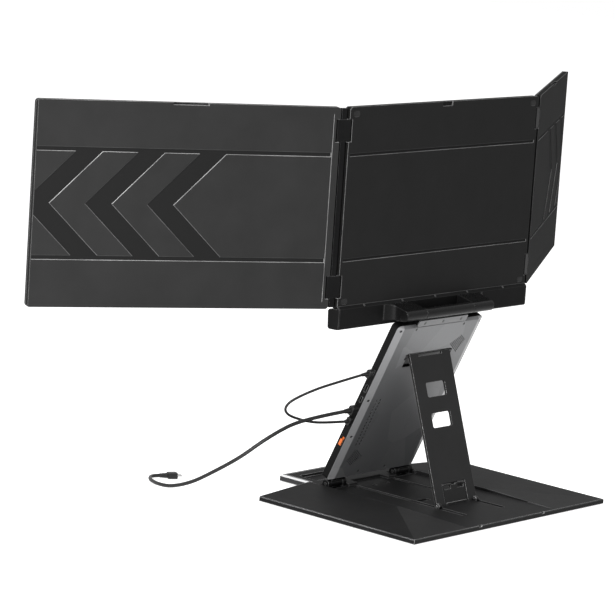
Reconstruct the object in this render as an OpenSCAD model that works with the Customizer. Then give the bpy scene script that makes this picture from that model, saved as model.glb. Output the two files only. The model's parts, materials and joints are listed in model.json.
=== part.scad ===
// Folding screen extender: two wing screens on twin-pivot links beside a centre screen,
// carried by a leaning electronics unit with a sliding back strut on a faceted base plate.
// X runs along the centre screen, Y towards the back, Z up. The screens face -Y.
// The origin is on the standing surface, under the middle of the centre screen's back.

/* [Screens] */
// Width of each screen housing
panel_w = 366; // [330:1:380]
// Height of each screen housing
panel_h = 239; // [230:1:245]
// Thickness of each screen housing
panel_t = 8; // [8:0.5:10]
// Thickness of the bezel frame on the front
bezel_t = 1.4; // [1:0.1:1.5]
// Wall behind the display module
back_wall = 1.6; // [1.2:0.1:2]
// Solid rim beside the display module
rim_w = 8; // [8:0.5:9]
// Solid rim above and below the display module
rim_h = 8.5; // [8:0.5:10]
// Bezel beside the lit picture
side_bezel = 11; // [11:0.5:20]
// Bezel above the lit picture
top_bezel = 19; // [12:0.5:30]
// Bezel below the lit picture
chin_h = 26; // [20:1:28]
// Corner radius of the housings
panel_r = 4; // [2:0.5:6]
// Height of the centre screen's lower edge above the table
screen_z = 252.6; // [250:0.2:262]
// How much higher the wing screens start
wing_lift = 1.2; // [1.2:0.2:3]
// How much narrower the left wing is, so that it folds inside the right link
left_short = 5; // [5:0.5:6]
// Forward lean of the three screens from upright
screen_lean = 0.94; // [-4:0.02:20]

/* [Back relief] */
// Height of the upper relief groove above a housing's lower edge
groove_hi = 180.4; // [165:0.2:188]
// Height of the lower relief groove above a housing's lower edge
groove_lo = 55.2; // [40:0.2:60]
// Width of the relief grooves
groove_w = 5; // [2:0.5:8]
// Depth of the relief grooves and chevrons
relief_d = 0.6; // [0.3:0.1:1]
// Distance between the chevrons
chevron_pitch = 74; // [60:1:80]
// Width of a chevron band, measured level
chevron_w = 32; // [20:1:40]
// Distance from a wing's inner edge to the first chevron's foot
chevron_u = 137; // [120:1:150]
// Width of the finger notch in a wing's top edge
finger_w = 43; // [30:1:60]
// Depth of the finger notch
finger_d = 2.6; // [1:0.2:4]

/* [Wing links] */
// How far the right wing is folded forward from flat
fold_right = 30; // [10:0.5:40]
// How far the left wing is folded forward from flat
fold_left = 30.9; // [10:0.1:40]
// Distance between the right link's two pivots
reach_right = 15; // [15:0.5:16]
// Distance between the left link's two pivots
reach_left = 6.4; // [6.4:0.1:6.8]
// Distance of the right pivots inside the housings' edges
inset_right = 2.15; // [2:0.05:2.5]
// Distance of the left pivots inside the housings' edges
inset_left = 1.25; // [1.1:0.05:1.4]
// Depth of the pivots behind the front face
pivot_d = 2.8; // [2.8:0.1:3]
// Height of a link block
link_h = 26; // [20:1:32]
// Height of the lower link block above a housing's lower edge
link_lo = 12.7; // [9:0.1:16]
// Height of the upper link block above a housing's lower edge
link_hi = 198.2; // [185:0.2:202]
// Radius of the link pins
link_pin_r = 1.25; // [1:0.05:1.3]
// Radius of a link's round ends
link_end_r = 2.1; // [2:0.1:2.3]
// How far a link stands behind its pivots
link_back = 4.6; // [3.5:0.1:4.8]

/* [Chin bar and yoke] */
// Height of the chin bar
bar_h = 24.6; // [22:0.1:26]
// How far the chin bar stands in front of the screen's back
bar_front = 14; // [12:0.5:16]
// How far the chin bar stands behind the screen's back
bar_rear = 3.4; // [2:0.2:3.6]
// How far the chin bar rises behind the centre screen
bar_ridge = 3.5; // [1:0.1:3.6]
// Wall of the chin bar
bar_wall = 2.2; // [1.8:0.1:3]
// Distance of the tilt axis behind the screen's back
axis_y = 25.5; // [25:0.5:30]
// Height of the tilt axis below the centre screen
axis_drop = 12.2; // [11:0.1:15]
// Radius of the tilt barrel
barrel_r = 6.8; // [6:0.1:7.2]
// Half length of the whole tilt barrel
barrel_half = 84; // [76:1:90]
// Half length of the middle part of the barrel
barrel_mid = 46; // [40:1:52]
// Radius of the tilt shaft
shaft_r = 2.6; // [2:0.1:3]
// Distance of the tilt hinge beside the centre
hinge_off = 4; // [0:0.5:8]

/* [Unit] */
// Width of the leaning unit
unit_w = 166; // [160:1:172]
// Length of the leaning unit
unit_l = 228.5; // [222:0.5:229]
// Depth of the unit's front shell
shell_d = 9.5; // [9:0.5:11]
// Wall of the unit's front shell
shell_wall = 2; // [1.6:0.1:2.4]
// Height of the raised back cover
cover_d = 3.5; // [3:0.1:4]
// Width of the back cover's sloping border
cover_slope = 11; // [8:0.5:14]
// Height of the sloping border at the back cover's ends
cover_ends = 3; // [2:0.5:6]
// Corner radius of the unit
unit_r = 5; // [3:0.5:8]
// Lean of the unit from upright
unit_tilt = 23.85; // [20:0.05:26]
// Height of the unit's pivot above the table
pivot_z = 11; // [10.8:0.2:12]
// Distance of the unit's pivot in front of the screen's back
pivot_y = 79.5; // [76:0.5:82]
// Gap between the unit's pivot and its lower end
unit_lift = 5.6; // [5.4:0.1:6.5]
// Depth of the unit's pivot under the back cover's border
pivot_under = 0.6; // [0:0.1:1]
// Radius of the unit's knuckles
knuckle_r = 5; // [4.4:0.1:5]
// Length of a unit knuckle
knuckle_l = 20; // [14:1:22]
// Distance of the knuckles' middle from the centre
knuckle_x = 65; // [58:1:68]
// Radius of the unit's pivot pins
unit_pin_r = 2; // [1.5:0.1:2.4]
// Travel of the power switch
switch_travel = 3; // [2:0.5:4]

/* [Strut] */
// Distance from the unit's pivot to the strut's pivot
strut_up = 187; // [182:0.5:190]
// Distance between the strut's pivot and its foot pins
strut_l = 187; // [182:0.5:190]
// Width of the strut
strut_w = 78; // [74:1:80]
// Thickness of the strut's sheet
strut_t = 3; // [2.4:0.1:3]
// Height of the foot pins above the table
foot_z = 7.4; // [7.4:0.1:8]
// Radius of the strut's ears
ear_r = 3.6; // [3.2:0.1:3.6]
// Radius of the strut's upper pins
strut_pin_r = 1.6; // [1.3:0.1:1.8]
// Radius of the foot pins
foot_pin_r = 1.9; // [1.5:0.1:2]
// Width of the two cable windows
window_w = 37; // [25:1:44]
// Height of the two cable windows
window_h = 18; // [14:1:22]
// Width of the latch flap
flap_w = 44; // [36:1:46]
// Length of the latch flap
flap_l = 25.3; // [22:0.1:30]

/* [Base] */
// Width of the base plate
base_w = 376; // [350:1:390]
// Distance of the base plate's rear edge behind the screen's back
base_rear = 148.5; // [142:0.5:155]
// Distance of the base plate's front corners in front of the screen's back
base_front = 93.5; // [84:0.5:94]
// Extra reach of the base plate's front edge beside the tray
front_slant = 8.5; // [6:0.5:14]
// Height of the base plate's edge
edge_z = 6.2; // [6:0.1:7]
// Height of the folded crests
crest_z = 9.6; // [9:0.1:11]
// Distance of the crests from the centre
crest_x = 90; // [87:1:96]
// Distance of the crests' rear tips behind the screen's back
crest_y = 41; // [30:1:55]
// Height of the sunk middle floor at the hinges
floor_z = 5.4; // [5.2:0.1:5.6]
// Width of the front tray
tray_w = 170; // [166:1:172]
// Distance of the tray's front edge in front of the screen's back
tray_front = 151; // [146:1:160]
// Height of the tray
tray_z = 8.6; // [8:0.1:9]
// Width of the tray's metal frame
frame_w = 5; // [3:0.5:6]
// Height of the rubber feet
foot_h = 0.5; // [0.4:0.1:1.2]
// Thickness of the bottom sheet
sheet_t = 1.2; // [1:0.1:1.4]

/* [Hidden] */
$fn = 40;
eps = 0.02;
run_gap = 0.05;
press_gap = 0.02;
side_gap = 0.6;
shade = [0.17, 0.17, 0.18];

// Pivots in the plane across the width, as [y, z]
hinge = [-pivot_y, pivot_z];
strut_top = hinge + strut_up * [sin(unit_tilt), cos(unit_tilt)];
strut_tilt = acos((strut_top[1] - foot_z) / strut_l);
foot = strut_top + strut_l * [sin(strut_tilt), -cos(strut_tilt)];
tilt_axis = [axis_y, screen_z - axis_drop];

// The unit's own frame has its pivot at the origin and runs up the unit along Z
border_y = -pivot_under;
back_y = border_y + cover_d;
front_y = border_y - shell_d;
unit_z0 = unit_lift;
unit_z1 = unit_lift + unit_l;
axis_in_unit = [
  (tilt_axis[0] - hinge[0]) * cos(unit_tilt) - (tilt_axis[1] - hinge[1]) * sin(unit_tilt),
  (tilt_axis[0] - hinge[0]) * sin(unit_tilt) + (tilt_axis[1] - hinge[1]) * cos(unit_tilt)];
wall_x = unit_w / 2 - shell_wall;
port_y = border_y - 4.2;
floor_y = front_y + shell_wall;

// Side ports up the unit, measured from its lower end
port_c_hi = 157.5;
port_hdmi = 134.5;
port_c_free = 118.5;
port_c_mid = 103.5;
port_c_lo = 87;
c_ports = [port_c_hi, port_c_free, port_c_mid, port_c_lo];
switch_z = 55;
switch_l = 8.5;
switch_w = 3.6;
shell_c = [9, 3.2];
shell_hdmi = [11.2, 3.6];
port_depth = 7;

// Back cover details, measured from the unit's lower end
grille_hi = [-51.5, 193];
grille_lo = [53, 32];
grille_n = 9;
grille_step = 2.2;
grille_len = 25;
grille_taper = 1.3;
grille_slot = 0.8;
grille_turn = 35;
vent_x = 53.6;
vent_cols = 2;
vent_gap = 6.8;
vent_n = 15;
vent_step = 4.7;
vent_z = 52;
vent_size = [1.8, 3];
well_d = 2.8;
well_down = 15;
well_up = 5;
well_side = 3;
tab_size = [94, 8.4];
tab_low = 0.6;
tab_holes = [-35, 0, 35];
cover_screws = [[76.5, 222], [48.5, 223], [-45, 222], [-76.5, 222], [76.5, 120], [-76.5, 120],
  [76.5, 66], [-76.5, 66], [31, 9], [-20.5, 9]];

// Strut details in its own frame, with its upper pivot at the origin
web_top = [5.1, 0.7];
web_foot = [-0.1, 0.4 - strut_l];
web_lean = (web_top[0] - web_foot[0]) / (web_top[1] - web_foot[1]);
ear_l = 5.4;
lug_x = strut_w / 2 + side_gap;
window_z = [-45.5, -83.5];
top_slot = [46, 2.5];
flap_drop = 0.7;
flap_top = 0.6;
flap_pin_z = web_foot[1] + flap_l - flap_top - flap_drop;
flap_pin_r = 0.8;
flap_t = 1.9;
track_x = strut_w / 2 - 1.5;
track_half = 4.9;
track_y0 = -68;
track_y1 = 106;
track_z = foot_z - ear_r - 0.4;

// Base details
lug_l = 6.4;
trough_z = 4.2;
trough_half = 8.5;
valley_x = crest_x - 4;
pocket_x = crest_x + 4;
pocket_y = -60;
pocket = [base_w / 2 - 16 - pocket_x, 170, 3.1];
tray_back = pivot_y - trough_half;
tray_join = base_front + front_slant;
recess = [140, 29, 3.5];
recess_y = -118.5;
catch_x = 20.5;
catch_y = 27;
catch_size = [22, 7];
sheet_inset = 5;
chamfer = 2;

// Chin bar
bar_screws = [-135.5, -63.5, 0, 63.5, 135.5];
screw_r = 1.3;
button_r = 1.5;
sweep_r = 13;

// Corner pads of the centre screen
pad_size = [11, 6.5];
pad_in = 8.5;
pad_x = [11, panel_w - 12];

// Links
wing_z = screen_z + wing_lift;
wing_h = panel_h;
cover_t = panel_t - bezel_t;
active_w = panel_w - 2 * side_bezel;
active_h = panel_h - chin_h - top_bezel;
strip_x = norm([inset_right, pivot_d]) + 0.4;
display_t = 2.6;
link_gap = 0.6;
pin_seat = 6;

function half_fold(side) = (side > 0 ? fold_right : fold_left) / 2;
function reach(side) = side > 0 ? reach_right : reach_left;
function inset(side) = side > 0 ? inset_right : inset_left;
function wing_w(side) = side > 0 ? panel_w : panel_w - left_short;
function web_y(z) = web_top[0] + (z - web_top[1]) * web_lean;

// Rounded rectangle from its lower left corner
module rrect(w, h, r) {
  translate([r, 0]) square([w - 2 * r, h]);
  translate([0, r]) square([w, h - 2 * r]);
  for (x = [r, w - r], y = [r, h - r]) translate([x, y]) circle(r);
}

// Plate standing in XZ with its outline from the corner, from y0 back to y1
module plate(w, h, r, y0, y1) {
  translate([0, y1, 0]) rotate([90, 0, 0]) linear_extrude(y1 - y0) rrect(w, h, r);
}

// Prism along X with a YZ profile
module along_x(x0, x1) {
  translate([x0, 0, 0]) rotate([90, 0, 90]) linear_extrude(x1 - x0) children();
}

// Disc or rod along X
module rod_x(x0, x1, r) {
  translate([x0, 0, 0]) rotate([0, 90, 0]) cylinder(h = x1 - x0, r = r);
}

module both_sides() {
  children();
  mirror([1, 0, 0]) children();
}

module in_unit() {
  translate([0, hinge[0], hinge[1]]) rotate([-unit_tilt, 0, 0]) children();
}

module in_strut() {
  translate([0, strut_top[0], strut_top[1]]) rotate([strut_tilt, 0, 0]) children();
}

module on_side(side) {
  if (side > 0) children();
  else mirror([1, 0, 0]) children();
}

// Frame of everything that tilts with the screens
module leaning() {
  translate([0, tilt_axis[0], tilt_axis[1]]) rotate([screen_lean, 0, 0])
    translate([0, -tilt_axis[0], -tilt_axis[1]]) children();
}

// First pivot of a link, with the link's own X running out to the second
module in_link(side) {
  leaning() on_side(side)
    translate([panel_w / 2 - inset(side), pivot_d - panel_t, wing_z])
      rotate([0, 0, -half_fold(side)]) children();
}

// Wing frame: X out from the inner edge, Y from the back face, Z from the lower edge
module in_wing(side) {
  in_link(side)
    translate([reach(side), 0, 0]) rotate([0, 0, -half_fold(side)])
      translate([-inset(side), panel_t - pivot_d, 0]) children();
}

module in_centre() {
  leaning() translate([0, 0, screen_z]) children();
}

// ---- Screens

// Housing outline minus the two link notches at an inner edge at x = 0
module link_notches(side, lift) {
  depth = inset(side) + link_end_r + link_gap;
  for (z = [link_lo, link_hi])
    translate([-1, -panel_t - 1, z + lift - link_gap])
      cube([depth + 1, panel_t + 2, link_h + 2 * link_gap]);
}

module pin_holes(side, lift, r) {
  for (z = [link_lo, link_hi])
    translate([inset(side), pivot_d - panel_t, z + lift - link_gap - pin_seat])
      cylinder(h = link_h + 2 * (link_gap + pin_seat), r = r);
}

module chevron(u, w) {
  mid = (groove_hi + groove_lo + groove_w) / 2;
  half = (groove_hi - groove_lo - groove_w) / 2;
  translate([0, eps, 0]) rotate([90, 0, 0]) linear_extrude(relief_d + eps) intersection() {
    polygon([[u, mid + half], [u + half, mid], [u, mid - half], [u + chevron_w, mid - half],
      [u + half + chevron_w, mid], [u + chevron_w, mid + half]]);
    square([w - 3, panel_h]);
  }
}

module relief_grooves(x0, x1, w) {
  for (z = [groove_lo, groove_hi])
    translate([x0, -relief_d, z]) cube([x1 - x0, relief_d + 1, w]);
}

module wing_cover(side) {
  w = wing_w(side);
  difference() {
    plate(w, wing_h, panel_r, -cover_t, 0);
    translate([rim_w, -cover_t - 1, rim_h])
      cube([w - 2 * rim_w, cover_t - back_wall + 1, wing_h - 2 * rim_h]);
    link_notches(side, 0);
    pin_holes(side, 0, link_pin_r + press_gap);
    relief_grooves(rim_w + 1, w - 3, groove_w);
    for (i = [0:2]) chevron(chevron_u + i * chevron_pitch, w);
    translate([w / 2 - finger_w / 2, -cover_t / 2, wing_h - finger_d])
      cube([finger_w, cover_t, finger_d + 1]);
    translate([rim_w, -relief_d, rim_h]) cube([0.5, relief_d + 1, wing_h - 2 * rim_h]);
    translate([w, 0, -1]) rotate([0, 0, 45])
      translate([-1.6, -1.6, 0]) cube([3.2, 3.2, wing_h + 2]);
  }
}

module bezel(w, h, side_a, side_b, lift) {
  difference() {
    plate(w, h, panel_r, -panel_t, -cover_t);
    translate([(w - active_w) / 2, -panel_t - 1, chin_h])
      cube([active_w, bezel_t + 2, active_h]);
    link_notches(side_a, lift);
    if (side_b != 0) translate([w, 0, 0]) mirror([1, 0, 0]) link_notches(side_b, lift);
  }
}

module display(w, h) {
  translate([rim_w + 0.3, -cover_t, rim_h + 0.3])
    cube([w - 2 * rim_w - side_gap, display_t, h - 2 * rim_h - side_gap]);
}

// Rounded pad on a housing's back, widened by a margin
module pad_form(y0, y1, m) {
  translate([-pad_size[0] / 2 - m, 0, -pad_size[1] / 2 - m])
    plate(pad_size[0] + 2 * m, pad_size[1] + 2 * m, pad_size[1] / 2 + m - 0.1, y0, y1);
}

module centre_cover() {
  h = panel_h + wing_lift;
  color(shade) in_centre() translate([-panel_w / 2, 0, 0]) difference() {
    plate(panel_w, h, panel_r, -cover_t, 0);
    translate([rim_w, -cover_t - 1, rim_h])
      cube([panel_w - 2 * rim_w, cover_t - back_wall + 1, h - 2 * rim_h]);
    link_notches(-1, wing_lift);
    pin_holes(-1, wing_lift, link_pin_r + press_gap);
    translate([panel_w, 0, 0]) mirror([1, 0, 0]) {
      link_notches(1, wing_lift);
      pin_holes(1, wing_lift, link_pin_r + press_gap);
    }
    translate([0, 0, wing_lift]) relief_grooves(4, panel_w - 4, 3.5);
    translate([panel_w / 2 - 10, 0, h - 5.5]) plate(20, 10, 2, -relief_d - 0.8, 1);
    for (x = pad_x, z = [pad_in, h - pad_in]) translate([x, 0, z]) pad_form(-relief_d, 1, 0);
  }
}

module centre_bezel() {
  color([0.1, 0.1, 0.11]) in_centre() translate([-panel_w / 2, 0, 0])
    bezel(panel_w, panel_h + wing_lift, -1, 1, wing_lift);
}

module centre_display() {
  color([0.05, 0.06, 0.08]) in_centre() translate([-panel_w / 2, 0, 0])
    display(panel_w, panel_h + wing_lift);
}

// Rubber bumpers pressed into the corner pockets of the centre cover
module corner_pads() {
  h = panel_h + wing_lift;
  color([0.08, 0.08, 0.08]) in_centre() for (x = pad_x, z = [pad_in, h - pad_in])
    translate([x - panel_w / 2, 0, z]) pad_form(-relief_d, 0.4, -press_gap);
}

module link_pins(side, lift) {
  for (z = [link_lo, link_hi])
    translate([inset(side), pivot_d - panel_t, z + lift - link_gap - pin_seat])
      cylinder(h = link_h + 2 * (link_gap + pin_seat), r = link_pin_r);
}

module centre_link_pins() {
  color([0.6, 0.6, 0.62]) in_centre() {
    translate([-panel_w / 2, 0, 0]) link_pins(-1, wing_lift);
    translate([panel_w / 2, 0, 0]) mirror([1, 0, 0]) link_pins(1, wing_lift);
  }
}

// Twin-pivot knuckle: round bores at both ends and a flat back
module link_block(side) {
  l = reach(side);
  difference() {
    linear_extrude(link_h) {
      translate([-link_end_r, 0]) square([l + 2 * link_end_r, link_back - 1]);
      translate([-link_end_r + 1, 0]) square([l + 2 * link_end_r - 2, link_back]);
      translate([0, -link_end_r]) square([l, 2 * link_end_r]);
      for (x = [0, l]) translate([x, 0]) circle(link_end_r);
      for (x = [1 - link_end_r, l + link_end_r - 1]) translate([x, link_back - 1]) circle(1);
    }
    for (x = [0, l]) translate([x, 0, -1]) cylinder(h = link_h + 2, r = link_pin_r + run_gap);
  }
}

// The wide link also carries a strip that closes the gap between the two housings
module links(side) {
  l = reach(side);
  color([0.22, 0.22, 0.23]) in_link(side) {
    for (z = [link_lo, link_hi]) translate([0, 0, z]) link_block(side);
    if (l > 2 * strip_x + 2) translate([strip_x, -1, 1.5]) cube([l - 2 * strip_x, 4.4, wing_h - 3]);
  }
}

module right_links() {
  links(1);
}

module left_links() {
  links(-1);
}

module right_cover() {
  color([0.22, 0.22, 0.23]) in_wing(1) wing_cover(1);
}

module left_cover() {
  color([0.22, 0.22, 0.23]) in_wing(-1) wing_cover(-1);
}

module right_bezel() {
  color([0.1, 0.1, 0.11]) in_wing(1) bezel(wing_w(1), wing_h, 1, 0, 0);
}

module left_bezel() {
  color([0.1, 0.1, 0.11]) in_wing(-1) bezel(wing_w(-1), wing_h, -1, 0, 0);
}

module right_display() {
  color([0.05, 0.06, 0.08]) in_wing(1) display(wing_w(1), wing_h);
}

module left_display() {
  color([0.05, 0.06, 0.08]) in_wing(-1) display(wing_w(-1), wing_h);
}

module right_link_pins() {
  color([0.6, 0.6, 0.62]) in_wing(1) link_pins(1, 0);
}

module left_link_pins() {
  color([0.6, 0.6, 0.62]) in_wing(-1) link_pins(-1, 0);
}

// ---- Chin bar and yoke

// Section of the chin bar; the outer one has a ridge that rises behind the centre screen
module bar_profile(inward) {
  rear = inward > 0 ? [[bar_rear - inward, -inward]]
    : [[-panel_t, 0], [0, 0], [0, bar_ridge], [bar_rear, bar_ridge - 3.6]];
  translate([0, screen_z]) polygon(concat(
    [[-bar_front + inward, -3], [-bar_front + 2 + inward / 2, -max(inward, 0.8)]], rear,
    [[bar_rear - inward, 1.6 - bar_h + inward / 2], [bar_rear - 1.6 - inward / 2, -bar_h + inward],
    [3 - bar_front + inward / 2, -bar_h + inward], [1 - bar_front + inward, 2 - bar_h]]));
}

module chin_bar() {
  half = panel_w / 2 - 2;
  color([0.19, 0.19, 0.2]) leaning() difference() {
    along_x(-half, half) bar_profile(0);
    along_x(-half - 1, half + 1) bar_profile(bar_wall);
    for (x = bar_screws) {
      translate([x, -4, screen_z - bar_wall - 1]) cylinder(h = bar_wall + 2, r = screw_r);
      in_seam(x) cylinder(h = 2, r = button_r);
    }
  }
}

module chin_caps() {
  half = panel_w / 2;
  color([0.19, 0.19, 0.2]) leaning() both_sides() {
    along_x(half - 2, half) bar_profile(0);
    along_x(half - 8, half - 2) bar_profile(bar_wall + press_gap);
  }
}

// Spot in the sloping seam behind the screen, with Z out of the bar
module in_seam(x) {
  translate([x, 1.7, screen_z + bar_ridge - 1.8]) rotate([-46.6, 0, 0]) translate([0, 0, -0.8]) children();
}

// Screws through the bar's roof, with a round button in the seam behind each
module chin_screws() {
  color([0.5, 0.5, 0.52]) leaning() for (x = bar_screws) {
    translate([x, -4, screen_z - bar_wall - 2]) cylinder(h = bar_wall + 2, r = screw_r - press_gap);
    translate([x, -4, screen_z - bar_wall - 2.2]) cylinder(h = 2.2, r = 2.2);
    in_seam(x) cylinder(h = 1.3, r = button_r - press_gap);
  }
}

module arm_profile() {
  polygon([[bar_rear, screen_z + bar_ridge - 3.8], [bar_rear + 6, screen_z + bar_ridge - 4.4],
    [axis_y, tilt_axis[1] + barrel_r], [axis_y, tilt_axis[1] - barrel_r],
    [bar_rear + 7, screen_z - bar_h + 5.6], [bar_rear, screen_z - bar_h + 4.6]]);
}

// Two arms that sweep into the chin bar with a hollow curve on their outer sides
module yoke() {
  color([0.17, 0.17, 0.18]) leaning() translate([hinge_off, 0, 0]) both_sides() difference() {
    union() {
      along_x(barrel_mid + side_gap, barrel_half) arm_profile();
      translate([0, tilt_axis[0], tilt_axis[1]]) rod_x(barrel_mid + side_gap, barrel_half, barrel_r);
      intersection() {
        translate([barrel_half, bar_rear, 0]) linear_extrude(2 * screen_z) difference() {
          translate([-1, 0]) square([sweep_r + 1, sweep_r]);
          translate([sweep_r, sweep_r]) circle(sweep_r);
        }
        along_x(barrel_half - 1, barrel_half + sweep_r) arm_profile();
      }
    }
    translate([0, tilt_axis[0], tilt_axis[1]]) {
      rod_x(barrel_mid, barrel_half - 5, shaft_r + run_gap);
      rod_x(barrel_half - 5.01, barrel_half + 1, barrel_r - 1.8);
    }
  }
}

module barrel_caps() {
  color([0.15, 0.15, 0.15]) leaning() translate([hinge_off, 0, 0]) both_sides()
    translate([0, tilt_axis[0], tilt_axis[1]]) {
    rod_x(barrel_half - 4.5, barrel_half, barrel_r - 1.8 - press_gap);
    rod_x(barrel_half, barrel_half + 0.6, barrel_r - 0.6);
  }
}

// ---- Leaning unit

module unit_shell() {
  color([0.13, 0.13, 0.14]) in_unit() difference() {
    translate([-unit_w / 2, 0, unit_z0]) plate(unit_w, unit_l, unit_r, front_y, border_y);
    translate([-wall_x, 0, unit_z0 + shell_wall])
      plate(2 * wall_x, unit_l - 2 * shell_wall, unit_r - shell_wall, floor_y, border_y + 1);
    for (z = c_ports)
      translate([wall_x - 1, port_y, unit_z0 + z]) port_hole(shell_c[0], shell_c[1], 6, press_gap);
    translate([wall_x - 1, port_y, unit_z0 + port_hdmi])
      port_hole(shell_hdmi[0], shell_hdmi[1], 6, press_gap);
    translate([wall_x - 1, port_y - switch_w / 2 - 0.3, unit_z0 + switch_z - switch_l / 2 - 0.3])
      cube([shell_wall + 2, switch_w + 0.6, switch_l + 0.6 + switch_travel]);
  }
}

// Socket outline standing on +X, long way up the unit
module port_hole(w, t, l, gap) {
  translate([0, -t / 2 - gap, -w / 2 - gap]) rotate([90, 0, 90])
    linear_extrude(l) rrect(t + 2 * gap, w + 2 * gap, t / 2 - 0.1);
}

module port_shell(w, t) {
  translate([wall_x + shell_wall - port_depth, 0, 0]) difference() {
    port_hole(w, t, port_depth, 0);
    translate([1, 0, 0]) port_hole(w - 0.7, t - 0.7, port_depth, 0);
  }
}

module unit_ports() {
  color([0.55, 0.56, 0.58]) in_unit() {
    for (z = c_ports)
      translate([0, port_y, unit_z0 + z]) port_shell(shell_c[0], shell_c[1]);
    translate([0, port_y, unit_z0 + port_hdmi]) port_shell(shell_hdmi[0], shell_hdmi[1]);
  }
}

// Slanted slots that get shorter away from the cover's middle
module grille(at, turn) {
  for (i = [0:grille_n - 1]) {
    l = grille_len - i * grille_taper;
    translate([at[0], back_y + 1, unit_z0 + at[1]]) rotate([90, 0, 0]) rotate(turn)
      translate([-l / 2, (i - (grille_n - 1) / 2) * grille_step - grille_slot / 2, 0])
        linear_extrude(cover_d + 2) rrect(l, grille_slot, grille_slot / 2 - 0.05);
  }
}

// Height of the back cover's surface at a distance from the centre
function cover_y(x) = min(back_y, border_y + cover_d * (unit_w / 2 - abs(x)) / cover_slope);

// Raised cover: two crossed roof profiles give the sloping border with mitred corners
module unit_cover() {
  color([0.42, 0.43, 0.45]) in_unit() difference() {
    intersection() {
      linear_extrude(unit_z1 + 1) polygon([[-unit_w / 2, border_y], [unit_w / 2, border_y],
        [unit_w / 2 - cover_slope, back_y], [cover_slope - unit_w / 2, back_y]]);
      along_x(-unit_w / 2 - 1, unit_w / 2 + 1) polygon([[border_y, unit_z0], [border_y, unit_z1],
        [back_y, unit_z1 - cover_ends], [back_y, unit_z0 + cover_ends]]);
      translate([-unit_w / 2, 0, unit_z0]) plate(unit_w, unit_l, unit_r, border_y, back_y);
    }
    translate([-strut_w / 2 - well_side, back_y - well_d, strut_up - well_down])
      cube([strut_w + 2 * well_side, well_d + 1, well_down + well_up]);
    both_sides() translate([strut_w / 2 - ear_l - 1, border_y - 1, strut_up - 4])
      cube([ear_l + 7.2, cover_d + 2, 8]);
    grille(grille_hi, grille_turn);
    grille(grille_lo, grille_turn + 180);
    for (c = [0:vent_cols - 1], i = [0:vent_n - 1])
      translate([vent_x + c * vent_gap, border_y - 1, unit_z0 + vent_z + i * vent_step])
        cube([vent_size[0], cover_d + 2, vent_size[1]]);
    for (p = cover_screws)
      translate([p[0], cover_y(p[0]) - 1.7, unit_z0 + p[1]]) rotate([-90, 0, 0]) cylinder(h = 5, r = 1.7);
  }
}

module unit_screws() {
  color([0.5, 0.5, 0.52]) in_unit() for (p = cover_screws)
    translate([p[0], cover_y(p[0]) - 1.7, unit_z0 + p[1]]) rotate([-90, 0, 0])
      cylinder(h = 1.2, r = 1.7 - press_gap);
}

module unit_board() {
  color([0.1, 0.3, 0.2]) in_unit() {
    translate([-66, floor_y, unit_z0 + 48]) cube([141, 1.6, 118]);
    translate([10, floor_y + 1.6, unit_z0 + 90]) cube([24, 3, 24]);
    translate([-46, floor_y + 1.6, unit_z0 + 100]) cube([30, 2, 44]);
  }
}

module unit_speakers() {
  color([0.2, 0.2, 0.2]) in_unit() for (at = [grille_hi, grille_lo])
    translate([at[0] - 14, floor_y, unit_z0 + at[1] - 13]) cube([19, border_y - floor_y, 26]);
}

module unit_knuckles() {
  color([0.15, 0.15, 0.16]) in_unit() both_sides() difference() {
    union() {
      rod_x(knuckle_x - knuckle_l / 2, knuckle_x + knuckle_l / 2, knuckle_r);
      translate([knuckle_x - knuckle_l / 2, -knuckle_r, 0]) cube([knuckle_l, knuckle_r + back_y, unit_z0]);
    }
    rod_x(0, unit_w, unit_pin_r + run_gap);
  }
}

module hinge_tab() {
  color([0.5, 0.51, 0.53]) in_unit() translate([hinge_off, 0, 0]) difference() {
    translate([-tab_size[0] / 2, 0, unit_z1 - tab_low])
      plate(tab_size[0], tab_size[1], 1.5, back_y, back_y + 1.6);
    for (x = tab_holes)
      translate([x, back_y + 0.6, unit_z1 - tab_low + tab_size[1] / 2]) rotate([-90, 0, 0])
        cylinder(h = 2, r = 2.2);
  }
}

module tab_screws() {
  color([0.6, 0.6, 0.62]) in_unit() translate([hinge_off, 0, 0]) for (x = tab_holes)
    translate([x, back_y + 0.6, unit_z1 - tab_low + tab_size[1] / 2]) rotate([-90, 0, 0])
      cylinder(h = 0.8, r = 2.2 - press_gap);
}

// Arm from the unit's upper end to the middle barrel
module hinge_arm() {
  color([0.15, 0.15, 0.16]) in_unit() translate([hinge_off, 0, 0]) difference() {
    union() {
      along_x(-barrel_mid, barrel_mid) polygon([[border_y - 6, unit_z1], [back_y, unit_z1],
        [back_y, unit_z1 + 8.5], axis_in_unit + barrel_r * [cos(30), -sin(30)], axis_in_unit,
        axis_in_unit - [barrel_r, 0], [border_y - 2, unit_z1 + 3], [border_y - 6, unit_z1 + 2]]);
      translate([0, axis_in_unit[0], axis_in_unit[1]]) rod_x(-barrel_mid, barrel_mid, barrel_r);
    }
    translate([0, axis_in_unit[0], axis_in_unit[1]])
      rod_x(-barrel_mid - 1, barrel_mid + 1, shaft_r + press_gap);
    translate([-unit_w / 2, -20, unit_z1 - 20]) cube([unit_w, 40, 20]);
  }
}

module tilt_shaft() {
  color([0.6, 0.6, 0.62]) in_unit() translate([hinge_off, axis_in_unit[0], axis_in_unit[1]])
    rod_x(-barrel_half + 5.2, barrel_half - 5.2, shaft_r);
}

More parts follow.
